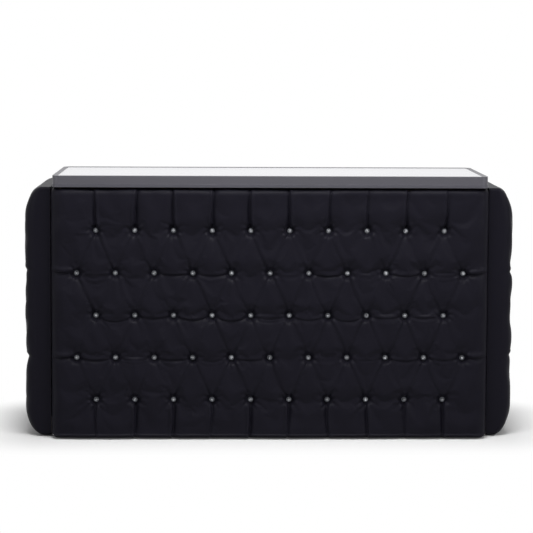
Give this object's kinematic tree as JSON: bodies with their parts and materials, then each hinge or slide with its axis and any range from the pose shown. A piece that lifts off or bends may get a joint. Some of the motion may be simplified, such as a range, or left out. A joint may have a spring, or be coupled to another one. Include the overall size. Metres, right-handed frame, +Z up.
{
  "type": "portable bar",
  "caption": "Folding portable bar with black diamond-tufted leatherette panels, crystal buttons, grey-edged lift-off counter and a hanging work rack",
  "frame": {"origin": "on the floor, in the middle of the bar's box", "axes": "X along the counter to the customer's right, Y from the customer side to the server side, Z up"},
  "size_m": [1.992, 0.618, 1.07],
  "materials": {
    "frame_coat": "black powder coat, fine texture",
    "zinc_steel": "bright zinc plate",
    "black_plastic": "moulded, matt",
    "black_rubber": "moulded, matt",
    "panel_plywood": "sanded birch plywood",
    "black_leatherette": "soft grain, satin",
    "button_chrome": "polished",
    "crystal": "clear, faceted",
    "grey_trim": "satin grey anodised",
    "deck_sheet": "fine brushed, bright",
    "shelf_steel": "brushed"
  },
  "bodies": {
    "front_frame": {"front_top_rail": "frame_coat", "front_mid_rail": "frame_coat", "front_bottom_rail": "frame_coat", "front_end_posts": "frame_coat", "front_mid_posts": "frame_coat", "front_gussets": "frame_coat", "rail_end_caps": "black_plastic", "stop_bumpers": "black_rubber", "hinge_frame_leaves": "zinc_steel", "hinge_pins": "zinc_steel", "wheel_brackets": "zinc_steel", "wheel_axles": "zinc_steel", "front_fastening_strips": "black_plastic", "front_panel_board": "panel_plywood", "front_tufted_pad": "black_leatherette", "front_button_cups": "button_chrome", "front_crystals": "crystal"},
    "counter": {"counter_edge_trim": "grey_trim", "counter_deck": "deck_sheet", "counter_core": "panel_plywood", "counter_battens": "panel_plywood", "counter_pegs": "zinc_steel", "counter_magnets": "zinc_steel"},
    "work_rack": {"rack_brackets": "frame_coat", "upper_shelf": "shelf_steel", "lower_shelf": "shelf_steel", "speed_rail": "shelf_steel", "speed_rail_rivets": "shelf_steel"},
    "left_wing": {"left_wing_rails": "frame_coat", "left_wing_posts": "frame_coat", "left_wing_rail_plug": "black_plastic", "left_wing_hinge_leaves": "zinc_steel", "left_wing_foot": "black_rubber", "left_wing_strike_plates": "zinc_steel", "left_wing_fastening_strips": "black_plastic", "left_wing_panel_board": "panel_plywood", "left_wing_tufted_pad": "black_leatherette", "left_wing_button_cups": "button_chrome", "left_wing_crystals": "crystal"},
    "left_wheel": {"left_wheel_hub": "black_plastic", "left_wheel_tyre": "black_rubber"},
    "right_wing": {"right_wing_rails": "frame_coat", "right_wing_posts": "frame_coat", "right_wing_rail_plug": "black_plastic", "right_wing_hinge_leaves": "zinc_steel", "right_wing_foot": "black_rubber", "right_wing_strike_plates": "zinc_steel", "right_wing_fastening_strips": "black_plastic", "right_wing_panel_board": "panel_plywood", "right_wing_tufted_pad": "black_leatherette", "right_wing_button_cups": "button_chrome", "right_wing_crystals": "crystal"},
    "right_wheel": {"right_wheel_hub": "black_plastic", "right_wheel_tyre": "black_rubber"}
  },
  "joints": [
    {"name": "right_wing_fold", "type": "hinge", "parent": "front_frame", "child": "right_wing", "pos_m": [0.8475, -0.1725, 0.55], "axis": [0, 0, 1], "range_deg": [0, 90]},
    {"name": "left_wing_fold", "type": "hinge", "parent": "front_frame", "child": "left_wing", "pos_m": [-0.8475, -0.1725, 0.55], "axis": [0, 0, -1], "range_deg": [0, 90]},
    {"name": "counter_lift", "type": "slide", "parent": "front_frame", "child": "counter", "axis": [0, 0, 1], "range_m": [0, 0.15]},
    {"name": "work_rack_lift", "type": "slide", "parent": "front_frame", "child": "work_rack", "axis": [0, 0, 1], "range_m": [0, 0.06]},
    {"name": "left_wheel_roll", "type": "hinge", "parent": "front_frame", "child": "left_wheel", "pos_m": [-0.788, -0.189, 0.035], "axis": [0, 1, 0], "continuous": true},
    {"name": "right_wheel_roll", "type": "hinge", "parent": "front_frame", "child": "right_wheel", "pos_m": [0.788, -0.189, 0.035], "axis": [0, 1, 0], "continuous": true}
  ]
}
